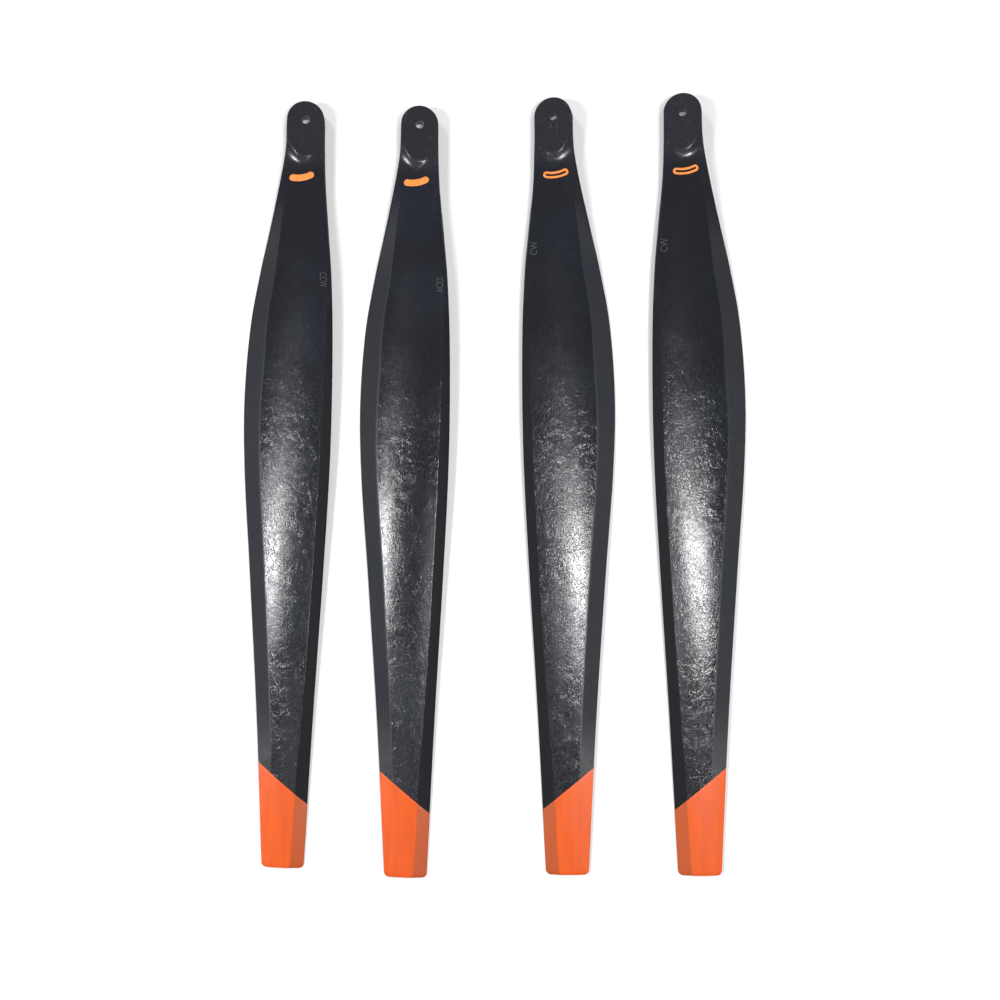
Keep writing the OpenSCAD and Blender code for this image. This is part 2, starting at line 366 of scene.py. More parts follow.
def polarGrid(boundary, lineCount, innerR, upper):
    # rings from the bore out to the boundary, gathered at the pad's edge and slope
    x, y = boundary[:, 0], boundary[:, 1]
    angle, reach = np.arctan2(y, x), np.hypot(x, y)
    rim = np.minimum(padForm["rimRound"] * 1.1, 0.05 * reach)
    edge = np.minimum(padRadius(angle), reach - 1.35 * rim)
    foot = np.minimum(padRadius(angle, padForm["slopeWidth"]), reach - rim)
    foot = np.maximum(foot, edge + 0.12)
    stops = [
        (innerR + 0 * reach, edge, 9 if upper else 7, 1.0),
        (edge, foot, 13 if upper else 6, 1.0),
        (foot, reach - rim, 26 if upper else 22, 1.15),
        (reach - rim, reach, 6, 0.6),
    ]
    rings = []
    for a, b, n, power in stops:
        for i in range(n):
            rings.append(a + (b - a) * (i / n) ** power)
    radii = np.array(rings + [reach])
    gx, gy = radii * np.cos(angle), radii * np.sin(angle)
    z = (rootUpper if upper else rootLower)(gx, gy)
    grid = np.stack([gx, gy, z], -1)
    grid[-1, :lineCount] = boundary[:lineCount]
    return grid


def bridge(faces, a, b, close=True, flip=False):
    # quads between two rows of vertex numbers
    n = len(a) if close else len(a) - 1
    for i in range(n):
        j = (i + 1) % len(a)
        quad = (a[i], a[j], b[j], b[i])
        faces.append(quad[::-1] if flip else quad)


class Shell:
    # vertices and faces of one piece, gathered row by row
    def __init__(self):
        self.points, self.faces, self.count = [], [], 0

    def row(self, points):
        points = np.asarray(points, float).reshape(-1, 3)
        self.points.append(points)
        numbers = list(range(self.count, self.count + len(points)))
        self.count += len(points)
        return numbers

    def capRing(self, ring, upperCount, wallCount, lowerCount, flip=False):
        # closes a loft ring: upper and lower rows are joined by triangles and quads from nose to edge
        up = ring[:upperCount]
        low = ring[upperCount + wallCount:upperCount + wallCount + lowerCount][::-1]
        trailWall = ring[upperCount:upperCount + wallCount]
        leadWall = ring[upperCount + wallCount + lowerCount:]
        strip = [leadWall[::-1], trailWall]
        i = j = 0
        while i < len(up) - 1 or j < len(low) - 1:
            if j >= len(low) - 1 or (i < len(up) - 1 and i / (len(up) - 1) <= j / (len(low) - 1)):
                tri = (up[i], low[j], up[i + 1])
                i += 1
            else:
                tri = (up[i], low[j], low[j + 1])
                j += 1
            self.faces.append(tri if flip else tri[::-1])
        fan = [up[0]] + strip[0] + [low[0]]
        self.faces.append(tuple(fan if not flip else fan[::-1]))
        fan = [up[-1]] + strip[1] + [low[-1]]
        self.faces.append(tuple(fan[::-1] if not flip else fan))


def ringCounts():
    n = meshGrid
    upper = n["noseSteps"] + n["crownSteps"] + n["edgeSteps"] + 1
    return upper, n["wallSteps"] - 1, n["lowerSteps"] + 1


def mouldingShell():
    shell = Shell()
    topEdge, lineCount = rootBoundary(True)
    lowEdge, lowLine = rootBoundary(False)
    outerR = padForm["boreR"] + padForm["chamfer"]
    top = polarGrid(topEdge, lineCount, outerR, True)
    low = polarGrid(lowEdge, lowLine, outerR, False)
    topRows = [shell.row(r) for r in top]
    lowRows = [shell.row(r) for r in low]
    for a, b in zip(topRows, topRows[1:]):
        bridge(shell.faces, a, b)
    for a, b in zip(lowRows, lowRows[1:]):
        bridge(shell.faces, a, b, flip=True)
    # bore: chamfer, wall and chamfer, on the upper face's spokes, joined to the lower face's own
    angle = np.arctan2(top[0][:, 1], top[0][:, 0])

    def boreRow(r, z, a=angle):
        return shell.row(np.stack([r * np.cos(a), r * np.sin(a), z + 0 * a], -1))

    padTop, axisH, c, r = bladeForm["padTop"], bladeForm["axisH"], padForm["chamfer"], padForm["boreR"]
    boreRows = [topRows[0], boreRow(r + 0.04, padTop - c + 0.02), boreRow(r, padTop - c - 0.05)]
    boreRows += [boreRow(r, z) for z in np.linspace(padTop - c - 0.6, -axisH + c + 0.2, 5)]
    for a, b in zip(boreRows, boreRows[1:]):
        bridge(shell.faces, a, b, flip=True)
    lowAngle = np.arctan2(low[0][:, 1], low[0][:, 0])
    lowBore = boreRow(r, -axisH + c, lowAngle)
    bridge(shell.faces, lowRows[0], lowBore)
    zipRows(shell, boreRows[-1], angle, lowBore, lowAngle)
    # side wall of the root, from the upper face's outline to the lower one's
    sideTop = topRows[-1][lineCount - 1:] + [topRows[-1][0]]
    sideLow = lowRows[-1][lowLine - 1:] + [lowRows[-1][0]]
    pointsTop = np.concatenate([top[-1][lineCount - 1:], top[-1][:1]])
    pointsLow = np.concatenate([low[-1][lowLine - 1:], low[-1][:1]])
    gap = np.linalg.norm(pointsTop - pointsLow, axis=1)[:, None]
    n = meshGrid["sideSteps"]
    m = meshGrid["arcSteps"]
    outward = np.zeros_like(pointsTop)
    outward[:n] = [-1, 0, 0]
    outward[n:n + m + 1] = pointsTop[n:n + m + 1] / bladeForm["rootR"] * [1, 1, 0]
    outward[n + m + 1:] = [1, 0, 0]
    rows = [sideTop]
    for k in range(1, meshGrid["wallSteps"]):
        v = k / meshGrid["wallSteps"]
        bulge = outward * math.sin(math.pi * v) * np.minimum(0.18 * gap, 0.12)
        rows.append(shell.row(pointsTop + (pointsLow - pointsTop) * v + bulge))
    rows.append(sideLow)
    for a, b in zip(rows, rows[1:]):
        bridge(shell.faces, a, b, close=False)
    # lofted blade, from the root line to the coloured tip
    upperCount, wallCount, lowerCount = ringCounts()
    first = topRows[-1][:lineCount] + [r[0] for r in rows[1:-1]]
    first += lowRows[-1][:lowLine][::-1] + [r[-1] for r in rows[1:-1]][::-1]
    start, end = meshGrid["rootLine"], bladeForm["colourS"]
    stations = np.linspace(start, end, int((end - start) / meshGrid["loftStep"]) + 1)[1:]
    previous = first
    for s in stations:
        ring = shell.row(loftRing(s))
        bridge(shell.faces, previous, ring, flip=True)
        previous = ring
    shell.capRing(previous, upperCount, wallCount, lowerCount)
    return shell


def zipRows(shell, a, angleA, b, angleB):
    # joins two closed rows that have different numbers of points, by angle
    a, b = list(a), list(b)
    ua = np.unwrap(-angleA)
    ub = np.unwrap(-angleB)
    ub += 2 * np.pi * round((ua[0] - ub[0]) / (2 * np.pi))
    ua, ub = np.append(ua, ua[0] + 2 * np.pi), np.append(ub, ub[0] + 2 * np.pi)
    if ua[1] < ua[0]:
        ua, ub = -ua, -ub
    a, b = a + [a[0]], b + [b[0]]
    i = j = 0
    while i < len(a) - 1 or j < len(b) - 1:
        if j >= len(b) - 1 or (i < len(a) - 1 and ua[i + 1] <= ub[j + 1]):
            shell.faces.append((a[i], b[j], a[i + 1]))
            i += 1
        else:
            shell.faces.append((a[i], b[j], b[j + 1]))
            j += 1


def tipShell():
    shell = Shell()
    reach, start, corner = bladeForm["tipReach"], bladeForm["colourS"], bladeForm["tipCorner"]
    upperCount, wallCount, lowerCount = ringCounts()
    coat = 0.05  # thickness of the paint
    stations = list(np.linspace(start, reach - corner, int((reach - corner - start) / meshGrid["loftStep"]) + 1))
    pinches = [1.0] * len(stations)
    for d, pinch in ((0.8, 1), (0.6, 1), (0.42, 1), (0.27, 1), (0.15, 0.97), (0.07, 0.88), (0.02, 0.7), (0, 0.5)):
        stations.append(reach - corner * d)
        pinches.append(pinch)
    previous = None
    for s, pinch in zip(stations, pinches):
        swell = coat * float(ease(start, start + 0.6, s)) if s < reach - 1 else 0.0
        ring = shell.row(loftRing(s, swell, pinch))
        if previous:
            bridge(shell.faces, previous, ring, flip=True)
        else:
            shell.capRing(ring, upperCount, wallCount, lowerCount, flip=True)
        previous = ring
    shell.capRing(previous, upperCount, wallCount, lowerCount)
    return shell


markForm = {
    "station": 46.5,
    "offset": 1.7,
    "length": 20.0,
    "width": 5.3,
    "bend": 24.0,
    "turn": 8.0,
    "lineWidth": 1.8,
    "proud": 0.25,
    "depth": 0.5,
    "steps": 72,
    "across": 10,
}


def markPoint(along, across, mirrored):
    # point of the bent bar: along its middle line and across it, in plan
    bend = markForm["bend"]
    a = along / bend
    x = (bend + across) * np.sin(a)
    y = bend - (bend + across) * np.cos(a)
    turn = math.radians(-markForm["turn"] if mirrored else markForm["turn"])
    px = x * math.cos(turn) - y * math.sin(turn) - markForm["offset"]
    py = x * math.sin(turn) + y * math.cos(turn) - markForm["station"]
    return px, py


def markShell(isOpen, mirrored):
    shell = Shell()
    half, w = markForm["length"] / 2, markForm["width"] / 2
    straight = half - w

    def lift(px, py, share):
        # the paint stands a little proud, with a soft edge, and is closed below
        top = markForm["proud"] * (1 - np.abs(share) ** 6) + 0.02
        return np.stack([px, py, rootUpper(px, py) + top], -1)

    if not isOpen:
        t = np.sin(np.linspace(-np.pi / 2, np.pi / 2, markForm["steps"] + 1)) * (half - 0.02)
        over = np.clip(np.abs(t) - straight, 0, None)
        width = np.sqrt(np.maximum(w * w - over**2, 0.0001))
        rows = []
        for v in np.linspace(-1, 1, markForm["across"] + 1):
            ripple = 1 + 0.02 * np.sin(t * 2.1 + v) + 0.015 * np.sin(t * 5.3)
            px, py = markPoint(t, v * width * ripple, mirrored)
            endShare = np.maximum(abs(v), np.abs(t) / half)
            rows.append(shell.row(lift(px, py, endShare)))
        floor = [shell.row(np.concatenate(shell.points)[r] - [0, 0, markForm["depth"]]) for r in (rows[0], rows[-1])]
        for a, b in zip(rows, rows[1:]):
            bridge(shell.faces, a, b, close=False)
        bridge(shell.faces, floor[0], rows[0], close=False)
        bridge(shell.faces, rows[-1], floor[1], close=False)
        bridge(shell.faces, floor[1], floor[0], close=False)
        for end in (0, -1):
            column = [floor[0][end]] + [r[end] for r in rows] + [floor[1][end]]
            shell.faces.append(tuple(column if end == 0 else column[::-1]))
        return shell
    # open mark: a line round the same outline
    n = markForm["steps"] * 2
    middle = w - markForm["lineWidth"] / 2
    run = 4 * straight + 2 * np.pi * middle
    rows = []
    at = np.arange(n) / n * run
    for v in np.linspace(-1, 1, markForm["across"] + 1):
        r = middle + v * markForm["lineWidth"] / 2
        along, across = np.empty(n), np.empty(n)
        for i, q in enumerate(at):
            if q < 2 * straight:
                along[i], across[i] = -straight + q, r
            elif q < 2 * straight + np.pi * middle:
                a = (q - 2 * straight) / middle
                along[i], across[i] = straight + r * math.sin(a), r * math.cos(a)
            elif q < 4 * straight + np.pi * middle:
                along[i], across[i] = straight - (q - 2 * straight - np.pi * middle), -r
            else:
                a = (q - 4 * straight - np.pi * middle) / middle
                along[i], across[i] = -straight - r * math.sin(a), -r * math.cos(a)
        px, py = markPoint(along, across, mirrored)
        rows.append(shell.row(lift(px, py, v + 0 * px)))
    everything = np.concatenate(shell.points)
    floor = [shell.row(everything[r] - [0, 0, markForm["depth"]]) for r in (rows[0], rows[-1])]
    loop = [floor[0]] + rows + [floor[1], floor[0]]
    for a, b in zip(loop, loop[1:]):
        bridge(shell.faces, a, b)
    return shell


def bladePlace(name):
    # a blade's own frame, read from its mounts: bore centre, across, along and up
    mounts = {m["name"]: m for m in frame["record"]["mounts"]}
    bore = mounts["pivot_bore_" + name]
    up = np.array(bore["axis"], float)
    up /= np.linalg.norm(up)
    middle = np.array(bore["pos_m"], float)
    face = np.array(mounts["upper_clamp_face_" + name]["pos_m"], float) - middle
    along = face - up * (face @ up)
    along /= np.linalg.norm(along)
    across = np.cross(along, up)
    mirrored = name.startswith("cw")
    origin = middle - up * (bladeForm["padTop"] - bladeForm["axisH"]) / 2 * mm
    return {
        "origin": origin,
        "axes": np.array([-across if mirrored else across, along, up]),
        "mirrored": mirrored,
        "body": "blade_" + name,
        "grainStart": np.array([7.3, 3.1, 1.7]) * (1 + len(name) + 3 * int(name[-1])),
    }


def bandsOf(points):
    # share of the chord, and how much a point lies on the nose facet and on the edge strip
    x, s, z = points[:, 0], np.maximum(-points[:, 1], 0), points[:, 2]
    a = twistAt(np.minimum(s, bladeForm["tipReach"]))
    u = x * np.cos(a) + z * np.sin(a)
    lead, trail = sideOffset(s, 1), sideOffset(s, 2)
    chord = lead + trail
    f = np.clip((lead - u) / chord, 0, 1)
    nose, edge = creaseShares(s, chord)
    facet = ease(0.35, -0.35, (f - nose) * chord) * ease(*creases["noseFadeIn"], s)
    strip = ease(-0.8, 0.8, (f - edge) * chord) * ease(*creases["edgeFadeIn"], s)
    strip = strip * (1 - ease(*creases["edgeFadeOut"], s))
    return np.stack([f, facet, strip], -1)


def makeObject(name, shell, place, material):
    points = np.concatenate(shell.points)
    world = place["origin"] + points * mm @ place["axes"]
    faces = shell.faces
    if place["mirrored"]:
        faces = [f[::-1] for f in faces]
    mesh = bpy.data.meshes.new(name)
    mesh.from_pydata(world.tolist(), [], faces)
    mesh.validate()
    mesh.update()
    mesh.polygons.foreach_set("use_smooth", [True] * len(mesh.polygons))
    # the blade's own length and width, for materials that follow its grain
    own = mesh.attributes.new("bladePlan", "FLOAT_VECTOR", "POINT")
    own.data.foreach_set("vector", (points / 100).astype(np.float32).ravel())
    grain = mesh.attributes.new("grain", "FLOAT_VECTOR", "POINT")
    grain.data.foreach_set("vector", (points / 100 + place["grainStart"]).astype(np.float32).ravel())
    bands = mesh.attributes.new("bands", "FLOAT_VECTOR", "POINT")
    bands.data.foreach_set("vector", bandsOf(points).astype(np.float32).ravel())
    obj = bpy.data.objects.new(name, mesh)
    bpy.context.scene.collection.objects.link(obj)
    mesh.materials.append(material)
    sharpen(mesh, 38)
    if material.name == "blackMoulding":
        shadeWallsAndFacet(mesh, place)
    return obj


def shadeWallsAndFacet(mesh, place):
    # side walls and the nose facet get a darker, matt copy of the moulding as painted shade, unlike the moulded faces
    # and the bore
    count = len(mesh.polygons)
    normals, centres = np.empty(count * 3), np.empty(count * 3)
    mesh.polygons.foreach_get("normal", normals)
    mesh.polygons.foreach_get("center", centres)
    up = normals.reshape(-1, 3) @ place["axes"][2]
    own = (centres.reshape(-1, 3) - place["origin"]) @ place["axes"].T / mm
    away = np.hypot(own[:, 0], own[:, 1]) > padForm["boreR"] + 2
    facet = (bandsOf(own)[:, 1] > 0.5) & (up > 0)
    wall = (np.abs(up) < wallLook["steep"]) & away | facet
    mesh.materials.append(finishes["wall"])
    mesh.polygons.foreach_set("material_index", wall.astype(np.int32))


def sharpen(mesh, angle):
    import bmesh
    bm = bmesh.new()
    bm.from_mesh(mesh)
    bmesh.ops.recalc_face_normals(bm, faces=bm.faces)
    for e in bm.edges:
        if len(e.link_faces) == 2 and e.calc_face_angle(0) > math.radians(angle):
            e.smooth = False
    bm.to_mesh(mesh)
    bm.free()


# ---- materials ----
def nodeTree(name):
    material = bpy.data.materials.new(name)
    material.use_nodes = True
    tree = material.node_tree
    shader = tree.nodes["Principled BSDF"]
    return material, tree, shader


def add(tree, kind, **values):
    node = tree.nodes.new(kind)
    for key, value in values.items():
        if key in node.inputs:
            node.inputs[key].default_value = value
        else:
            setattr(node, key, value)
    return node


def mixTo(tree, factor, first, second, colour=False):
    # plain blend between two values or sockets
    mix = add(tree, "ShaderNodeMix", data_type="RGBA" if colour else "FLOAT")
    slotA, slotB, out = (6, 7, 2) if colour else (2, 3, 0)
    for slot, value in ((0, factor), (slotA, first), (slotB, second)):
        if isinstance(value, bpy.types.NodeSocket):
            tree.links.new(value, mix.inputs[slot])
        else:
            mix.inputs[slot].default_value = value
    return mix.outputs[out]


def rangeOf(tree, value, low, high, toLow=0.0, toHigh=1.0):
    node = add(tree, "ShaderNodeMapRange")
    node.inputs["From Min"].default_value = low
    node.inputs["From Max"].default_value = high
    node.inputs["To Min"].default_value = toLow
    node.inputs["To Max"].default_value = toHigh
    tree.links.new(value, node.inputs["Value"])
    return node.outputs[0]


def calc(tree, operation, a, b=0.0):
    node = add(tree, "ShaderNodeMath", operation=operation)
    for slot, value in ((0, a), (1, b)):
        if isinstance(value, bpy.types.NodeSocket):
            tree.links.new(value, node.inputs[slot])
        else:
            node.inputs[slot].default_value = value
    return node.outputs[0]


def noiseOf(tree, vector, scale, detail=2.0, roughness=0.5, distortion=0.0, colour=False):
    node = add(tree, "ShaderNodeTexNoise", Scale=scale, Detail=detail, Roughness=roughness)
    node.inputs["Distortion"].default_value = distortion
    tree.links.new(vector, node.inputs["Vector"])
    return node.outputs["Color" if colour else "Fac"]


def stretched(tree, vector, scale, turn=(0, 0, 0)):
    node = add(tree, "ShaderNodeMapping")
    node.inputs["Scale"].default_value = scale
    node.inputs["Rotation"].default_value = turn
    tree.links.new(vector, node.inputs["Vector"])
    return node.outputs[0]


def attributeOf(tree, name):
    return add(tree, "ShaderNodeAttribute", attribute_name=name).outputs["Vector"]


blackLook = {
    "colour": (0.0125, 0.0128, 0.0148, 1),
    "tint": (0.0125, 0.0148, 0.021, 1),
    "padHaze": (0.036, 0.037, 0.042, 1),
    "fibreTint": (0.024, 0.027, 0.036, 1),
    "gloss": 0.17,
    "satin": 0.74,
    "fibreSize": 55.0,
    "fibreDepth": 0.000065,
    "waveDepth": 0.00025,
}


def blackMoulding():
    look = blackLook
    material, tree, shader = nodeTree("blackMoulding")
    link = tree.links.new
    grain, bands = attributeOf(tree, "grain"), attributeOf(tree, "bands")
    split = add(tree, "ShaderNodeSeparateXYZ")
    link(bands, split.inputs[0])
    strip = split.outputs["Z"]
    plan = add(tree, "ShaderNodeSeparateXYZ")
    link(attributeOf(tree, "bladePlan"), plan.inputs[0])
    pad = rangeOf(tree, plan.outputs["Y"], -0.42, -0.3)
    # short fibres near the surface lie in all directions, in drifts that follow the flow of the melt
    swirl = noiseOf(tree, grain, 9.0, 2.0, 0.5, 0.6, colour=True)
    bend = add(tree, "ShaderNodeVectorMath", operation="MULTIPLY_ADD")
    bend.inputs[1].default_value = (0.12, 0.12, 0.12)
    link(swirl, bend.inputs[0])
    link(grain, bend.inputs[2])
    fibres = []
    for turn in (0.35, 1.25, 2.3):
        along = stretched(tree, bend.outputs[0], (1.0, 0.22, 1.0), (0, 0, turn))
        strand = noiseOf(tree, along, look["fibreSize"] * 1.6, 2.0, 0.6)
        fibres.append(rangeOf(tree, strand, 0.53, 0.7))
    fibre = calc(tree, "MAXIMUM", calc(tree, "MAXIMUM", fibres[0], fibres[1]), fibres[2])
    pebble = noiseOf(tree, grain, look["fibreSize"], 2.0, 0.55, 0.8)
    drift = rangeOf(tree, noiseOf(tree, grain, 0.9, 2.0, 0.5, 0.3), 0.36, 0.62, 0.6, 1.0)
    calm = rangeOf(tree, plan.outputs["Y"], -2.6, -1.6, 1.0, 0.3)
    drift = calc(tree, "MULTIPLY", drift, calm)
    height = calc(tree, "ADD", calc(tree, "MULTIPLY", fibre, 0.7), calc(tree, "MULTIPLY", pebble, 0.45))
    height = mixTo(tree, drift, 0.33, height)
    bump = add(tree, "ShaderNodeBump", Distance=look["fibreDepth"])
    link(height, bump.inputs["Height"])
    wave = noiseOf(tree, stretched(tree, grain, (1.0, 0.4, 1.0)), 3.0, 1.0)
    slow = add(tree, "ShaderNodeBump", Distance=look["waveDepth"])
    slow.inputs["Strength"].default_value = 0.3
    link(wave, slow.inputs["Height"])
    link(slow.outputs["Normal"], bump.inputs["Normal"])
    link(bump.outputs["Normal"], shader.inputs["Normal"])
    cloud = rangeOf(tree, noiseOf(tree, grain, 1.4, 4.0, 0.6), 0.35, 0.65)
    shade = mixTo(tree, cloud, look["colour"], look["tint"], colour=True)
    shade = mixTo(tree, calc(tree, "MULTIPLY", fibre, drift), shade, look["fibreTint"], colour=True)
    # the pad is handled and has fine scratches in long bent strokes
    stroke = stretched(tree, bend.outputs[0], (1.0, 0.12, 1.0), (0, 0, 0.75))
    scratch = rangeOf(tree, noiseOf(tree, stroke, 46.0, 3.0, 0.6), 0.56, 0.68)
    worn = calc(tree, "MULTIPLY", scratch, rangeOf(tree, noiseOf(tree, grain, 7.0), 0.42, 0.6))
    haze = calc(tree, "MULTIPLY", pad, calc(tree, "ADD", calc(tree, "MULTIPLY", worn, 0.6), 0.35))
    shade = mixTo(tree, haze, shade, look["padHaze"], colour=True)
    link(shade, shader.inputs["Base Color"])
    polish = mixTo(tree, strip, look["gloss"], look["satin"])
    polish = calc(tree, "ADD", polish, calc(tree, "MULTIPLY", haze, 0.16))
    polish = calc(tree, "ADD", polish, calc(tree, "MULTIPLY", fibre, 0.06))
    polish = calc(tree, "ADD", polish, rangeOf(tree, cloud, 0, 1, -0.03, 0.05))
    link(polish, shader.inputs["Roughness"])
    return material


# darker, duller copy of the black moulding for the walls and nose facet: painted shade
wallLook = {"colour": (0.009, 0.009, 0.011, 1), "roughness": 0.62, "specular": 0.12, "steep": 0.55}


def paintedShadeWall():
    look = wallLook
    material, tree, shader = nodeTree("paintedShadeWall")
    grain = attributeOf(tree, "grain")
    drag = noiseOf(tree, stretched(tree, grain, (1.0, 0.1, 1.0)), 70.0, 2.0)
    # painted shade: darker colour and low specular on the same moulding
    shade = mixTo(tree, drag, look["colour"], (0.014, 0.014, 0.017, 1), colour=True)
    tree.links.new(shade, shader.inputs["Base Color"])
    bump = add(tree, "ShaderNodeBump", Distance=0.00005)
    tree.links.new(drag, bump.inputs["Height"])
    tree.links.new(bump.outputs["Normal"], shader.inputs["Normal"])
    shader.inputs["Roughness"].default_value = look["roughness"]
    shader.inputs["Specular IOR Level"].default_value = look["specular"]
    return material


def paintedSheenLabel():
    material, tree, shader = nodeTree("paintedSheenLabel")
    # the moulded letters are coloured lighter than the blade, in blotches, as painted sheen
    blot = noiseOf(tree, attributeOf(tree, "grain"), 60.0, 3.0)
    shade = mixTo(tree, blot, (0.035, 0.036, 0.042, 1), (0.085, 0.087, 0.095, 1), colour=True)
    tree.links.new(shade, shader.inputs["Base Color"])
    bump = add(tree, "ShaderNodeBump", Distance=0.00004)
    tree.links.new(blot, bump.inputs["Height"])
    tree.links.new(bump.outputs["Normal"], shader.inputs["Normal"])
    shader.inputs["Roughness"].default_value = 0.38
    return material


orangeLook = {
    "colour": (0.77, 0.104, 0.006, 1),
    "worn": (0.66, 0.084, 0.006, 1),
    # darker orange for the nose facet, painted shade on the same coat
    "facet": (0.36, 0.075, 0.02, 1),
    "roughness": 0.34,
}


def orangePaint():
    look = orangeLook
    material, tree, shader = nodeTree("orangePaint")
    link = tree.links.new
    grain, bands = attributeOf(tree, "grain"), attributeOf(tree, "bands")
    split = add(tree, "ShaderNodeSeparateXYZ")
    link(bands, split.inputs[0])
    drag = noiseOf(tree, stretched(tree, grain, (1.0, 0.08, 1.0)), 24.0, 3.0, 0.6)
    blot = noiseOf(tree, grain, 5.0, 3.0, 0.6)
    mixed = calc(tree, "ADD", calc(tree, "MULTIPLY", drag, 0.6), calc(tree, "MULTIPLY", blot, 0.4))
    shade = mixTo(tree, rangeOf(tree, mixed, 0.38, 0.62), look["colour"], look["worn"], colour=True)
    # painted shade: the tip's nose facet is coloured darker orange than the rest of the coat
    facetPaintedShade = calc(tree, "MULTIPLY", split.outputs["Y"], 0.75)
    shade = mixTo(tree, facetPaintedShade, shade, look["facet"], colour=True)
    link(shade, shader.inputs["Base Color"])
    fine = noiseOf(tree, grain, 90.0, 2.0)
    bump = add(tree, "ShaderNodeBump", Distance=0.00004)
    link(fine, bump.inputs["Height"])
    link(bump.outputs["Normal"], shader.inputs["Normal"])
    link(rangeOf(tree, blot, 0.3, 0.7, look["roughness"] - 0.05, look["roughness"] + 0.08), shader.inputs["Roughness"])
    return material


def markPaint():
    material, tree, shader = nodeTree("markPaint")
    link = tree.links.new
    grain = attributeOf(tree, "grain")
    blot = noiseOf(tree, grain, 40.0, 3.0, 0.6)
    shade = mixTo(tree, rangeOf(tree, blot, 0.35, 0.65), (1.0, 0.3, 0.065, 1), (0.9, 0.24, 0.045, 1), colour=True)
    link(shade, shader.inputs["Base Color"])
    bump = add(tree, "ShaderNodeBump", Distance=0.00005)
    link(blot, bump.inputs["Height"])
    link(bump.outputs["Normal"], shader.inputs["Normal"])
    shader.inputs["Roughness"].default_value = 0.45
    return material


# ---- blades ----
finishes = {
    "moulding": blackMoulding(), "tip": orangePaint(), "mark": markPaint(),
    "wall": paintedShadeWall(), "label": paintedSheenLabel(),
}
cadNames = {"moulding": "blade", "tip": "tip", "mark": "mark"}

labelForm = {
    "height": 5.6,
    "length": {"ccw": 11.7, "cw": 10.6},
    "station": {"ccw": 129.0, "cw": 105.0},
    "inset": {"ccw": 3.6, "cw": 3.2},  # gap between the letters' tops and the leading edge
    "proud": 0.16,
    "weight": -0.006,
}


def labelShell(hand):
    # the direction word, raised from the surface behind the leading edge
    form = labelForm
    curve = bpy.data.curves.new("label", "FONT")
    curve.body = hand.upper()
    curve.size = 1.0
    curve.offset = form["weight"]
    curve.extrude = 0.05
    curve.resolution_u = 6
    holder = bpy.data.objects.new("label", curve)
    bpy.context.scene.collection.objects.link(holder)
    bpy.context.view_layer.update()
    flat = bpy.data.meshes.new_from_object(holder.evaluated_get(bpy.context.evaluated_depsgraph_get()))
    bpy.data.objects.remove(holder)
    bpy.data.curves.remove(curve)
    at = np.array([v.co[:] for v in flat.vertices])
    faces = [tuple(f.vertices) for f in flat.polygons]
    bpy.data.meshes.remove(flat)
    low, high = at.min(0), at.max(0)
    share = (at - low) / (high - low)
    along = (share[:, 0] - 0.5) * form["length"][hand]
    tops = float(sideOffset(form["station"][hand], 1) * np.cos(twistAt(form["station"][hand])))
    x = tops - form["inset"][hand] - form["height"] * (1 - share[:, 1])
    s = form["station"][hand] + (along if hand == "ccw" else -along)
    # one side of the letters is sunk a little, the other stands proud
    z = planHeight(x, s, upperHeight) + np.where(share[:, 2] > 0.5, form["proud"], -0.1)
    shell = Shell()
    shell.row(np.stack([x, -s, z], -1))
    shell.faces = faces
    return shell


def makeBlade(name):
    hand, number = name.split("_")
    place = bladePlace(name)
    shells = {
        "moulding": mouldingShell(),
        "tip": tipShell(),
        "mark": markShell(place["mirrored"], place["mirrored"]),
        "label": labelShell(hand),
    }
    for part, shell in shells.items():
        piece = makeObject(f"{hand}{part.capitalize()}{number}", shell, place, finishes[part])
        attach(piece, place["body"])
        if part in cadNames:
            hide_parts(f"{hand}_{cadNames[part]}_{number}")


for bladeName in ("ccw_1", "ccw_2", "cw_1", "cw_2"):
    makeBlade(bladeName)
print("blades made")


# ---- stage, light and camera ----
floorLook = {"size": 6.0, "white": 0.7, "glow": 0.17}


def backdropRays(tree):
    # camera, glossy and transmission rays see the backdrop itself
    path = add(tree, "ShaderNodeLightPath")
    seen = calc(tree, "MAXIMUM", path.outputs["Is Camera Ray"], path.outputs["Is Glossy Ray"])
    return calc(tree, "MAXIMUM", seen, path.outputs["Is Transmission Ray"])


def makeFloor():
    mesh = bpy.data.meshes.new("paper")
    size = floorLook["size"]
    mesh.from_pydata([(-size, -size, 0), (size, -size, 0), (size, size, 0), (-size, size, 0)], [], [(0, 1, 2, 3)])
    floor = bpy.data.objects.new("paper", mesh)
    floor.location.z = -0.0002
    bpy.context.scene.collection.objects.link(floor)
    material, tree, shader = nodeTree("paper")
    tree.nodes.remove(shader)
    out = tree.nodes["Material Output"]
    white = floorLook["white"]
    diffuse = add(tree, "ShaderNodeBsdfDiffuse", Color=(white, white, white, 1))
    glow = add(tree, "ShaderNodeEmission", Color=(1, 1, 1, 1))
    tree.links.new(calc(tree, "MULTIPLY", backdropRays(tree), floorLook["glow"]), glow.inputs["Strength"])
    total = add(tree, "ShaderNodeAddShader")
    tree.links.new(diffuse.outputs[0], total.inputs[0])
    tree.links.new(glow.outputs[0], total.inputs[1])
    tree.links.new(total.outputs[0], out.inputs["Surface"])
    mesh.materials.append(material)


skyLook = {"horizon": (1, 1, 1, 1), "ceiling": (0.22, 0.225, 0.24, 1), "strength": 0.46}


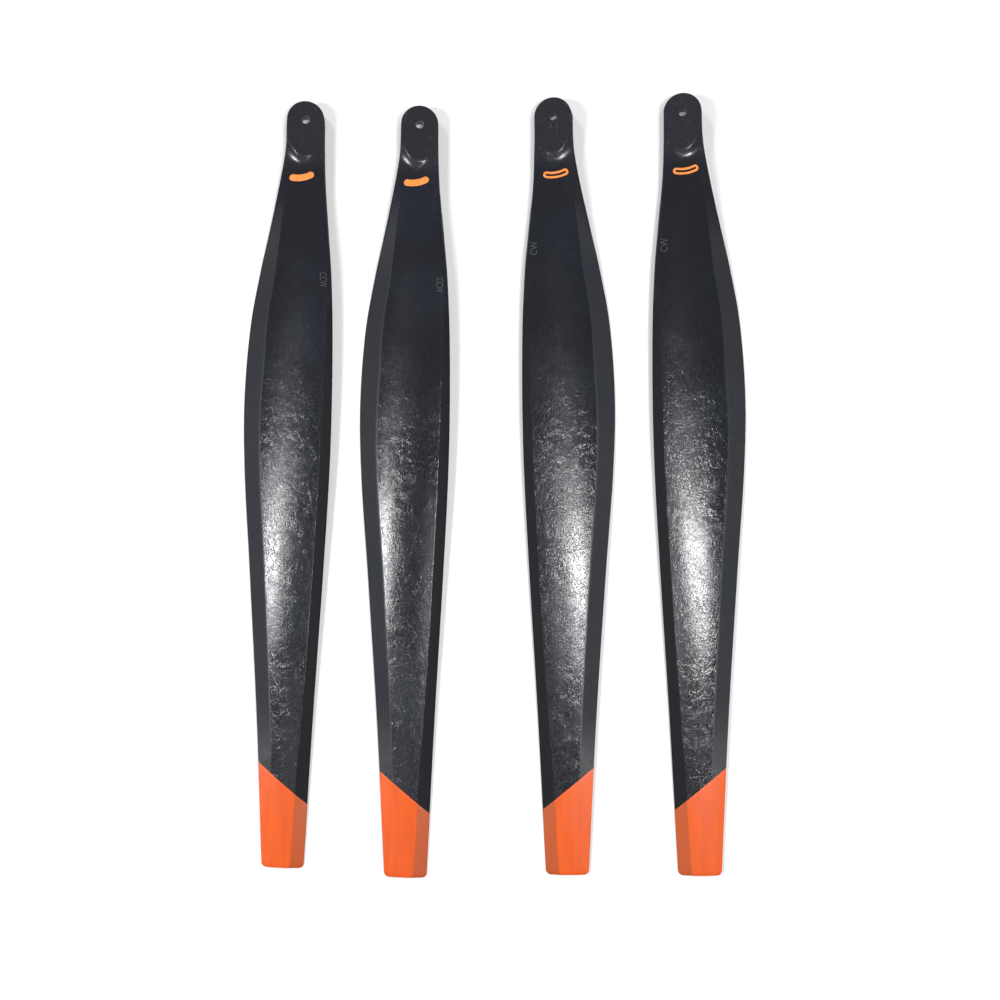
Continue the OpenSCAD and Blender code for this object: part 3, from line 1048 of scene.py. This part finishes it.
def makeWorld():
    world = bpy.data.worlds.new("studio")
    bpy.context.scene.world = world
    world.use_nodes = True
    tree = world.node_tree
    background = tree.nodes["Background"]
    coordinates = add(tree, "ShaderNodeTexCoord")
    split = add(tree, "ShaderNodeSeparateXYZ")
    tree.links.new(coordinates.outputs["Generated"], split.inputs[0])
    high = rangeOf(tree, split.outputs["Z"], 0.1, 0.5)
    sky = mixTo(tree, high, skyLook["horizon"], skyLook["ceiling"], colour=True)
    path = add(tree, "ShaderNodeLightPath")
    seen = calc(tree, "MAXIMUM", path.outputs["Is Camera Ray"], path.outputs["Is Transmission Ray"])
    tree.links.new(mixTo(tree, seen, sky, (1, 1, 1, 1), colour=True), background.inputs["Color"])
    tree.links.new(mixTo(tree, seen, skyLook["strength"], 1.0), background.inputs["Strength"])


lamps = {
    # place, target, width, height, radiance, seen in reflections
    "windowLeft": ((-1.18, -0.12, 1.51), (-0.13, -0.06, 0), 0.15, 0.38, 95.0, True),
    "windowRight": ((0.52, -0.17, 1.51), (0.12, -0.07, 0), 0.12, 0.36, 105.0, True),
    "overhead": ((0.02, -0.28, 1.55), (0.0, -0.1, 0), 0.14, 0.3, 6.0, True),
    "wallLeft": ((-0.5, -0.6, 1.5), (-0.1, -0.1, 0), 0.5, 0.4, 0.8, True),
    "keyLeft": ((-1.0, 1.45, 1.6), (0, 0, 0), 0.25, 0.25, 64.0, False),
    "keyRight": ((0.5, 0.5, 1.6), (0, 0, 0), 0.2, 0.2, 38.0, False),
}


def makeLamps():
    for name, (place, target, width, height, radiance, reflected) in lamps.items():
        data = bpy.data.lights.new(name, "AREA")
        data.shape = "RECTANGLE"
        data.size, data.size_y = width, height
        data.energy = radiance * math.pi * width * height
        lamp = bpy.data.objects.new(name, data)
        lamp.location = place
        lamp.rotation_euler = (Vector(target) - Vector(place)).to_track_quat("-Z", "Y").to_euler()
        lamp.visible_glossy = reflected
        bpy.context.scene.collection.objects.link(lamp)


cameraSet = {
    "place": (0.0601, -0.0418, 0.9),
    "turn": (1.963, 3.396, 0.009),
    "lens": 40.84,
}


def makeCamera():
    data = bpy.data.cameras.new("camera")
    data.sensor_width = 36
    data.lens = cameraSet["lens"]
    camera = bpy.data.objects.new("camera", data)
    camera.location = cameraSet["place"]
    camera.rotation_euler = [math.radians(a) for a in cameraSet["turn"]]
    bpy.context.scene.collection.objects.link(camera)
    bpy.context.scene.camera = camera


makeFloor()
makeWorld()
makeLamps()
makeCamera()
bpy.context.scene.view_settings.view_transform = "Standard"
print("stage, lamps and camera made")
